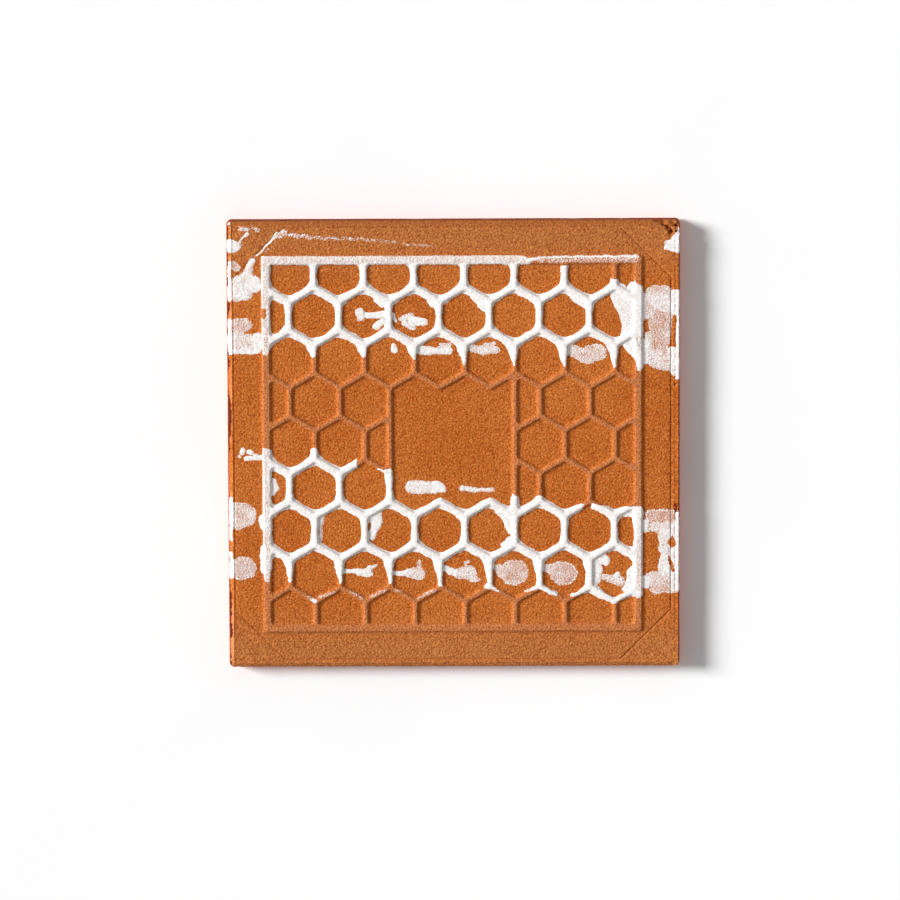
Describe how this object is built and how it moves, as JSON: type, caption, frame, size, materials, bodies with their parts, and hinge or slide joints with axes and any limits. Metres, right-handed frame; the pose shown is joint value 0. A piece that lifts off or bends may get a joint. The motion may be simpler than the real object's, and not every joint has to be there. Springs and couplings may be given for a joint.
{
  "type": "ceramic tile",
  "caption": "Square pressed clay wall tile, glossy orange glaze on its face, raised frame and honeycomb ribs on its back with a bare panel in the middle.",
  "frame": {"origin": "middle of the glazed face, which lies on the floor at Z = 0", "axes": "+Z out of the ribbed back, +X and +Y along the sides; +Y is the side that the picture shows uppermost, and +X the one on its right"},
  "size_m": [0.15, 0.15, 0.0084],
  "materials": {
    "clay_body": "matt fired red clay, fine pressed grain",
    "face_glaze": "glossy orange glaze over the face and its rounded edge",
    "dried_slip": "matt white slip dried in two bands on the ribs of the back"
  },
  "bodies": {
    "root": {"tile": "clay_body"}
  },
  "joints": []
}
